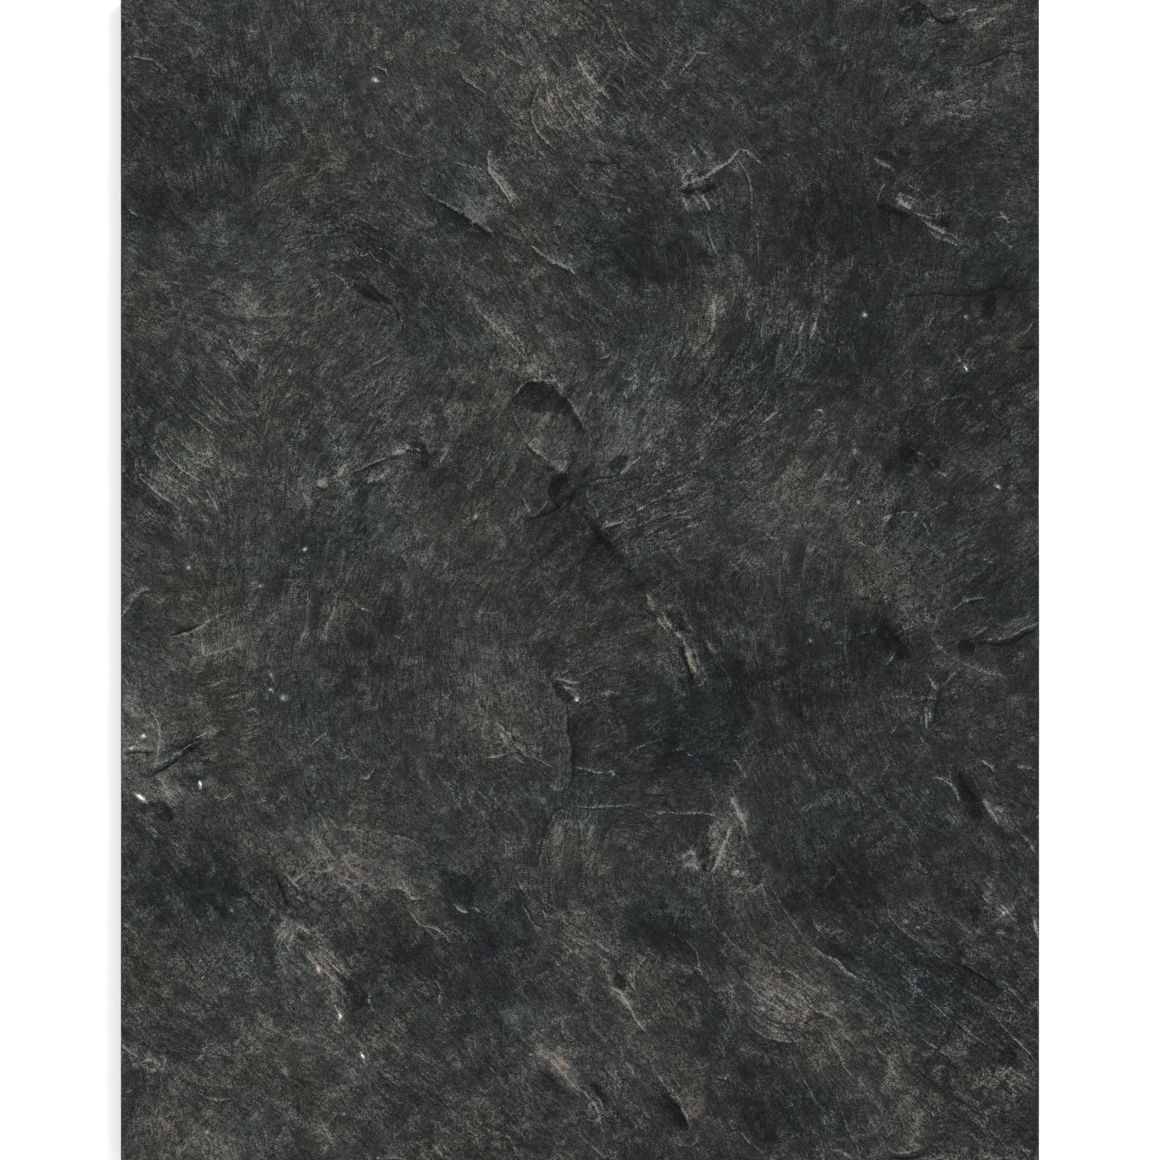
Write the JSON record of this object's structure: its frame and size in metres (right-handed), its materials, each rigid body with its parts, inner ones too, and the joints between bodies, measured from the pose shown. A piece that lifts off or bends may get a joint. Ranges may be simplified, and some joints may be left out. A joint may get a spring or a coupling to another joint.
{
  "type": "slate slab",
  "caption": "Rectangular slab of dark grey slate with a riven face of low ledges, ridges and scars, sawn edges and a flat back.",
  "frame": {"origin": "middle of the flat back, where the slab lies on what carries it", "axes": "+X across the width, +Y along the length, +Z out of the riven face"},
  "size_m": [0.6, 0.76, 0.0258],
  "materials": {
    "slate": "natural riven cleavage, matt with a faint satin sheen along the grain; sawn edges and gauged back plain matt"
  },
  "bodies": {
    "root": {"slate_slab": "slate"}
  },
  "joints": []
}
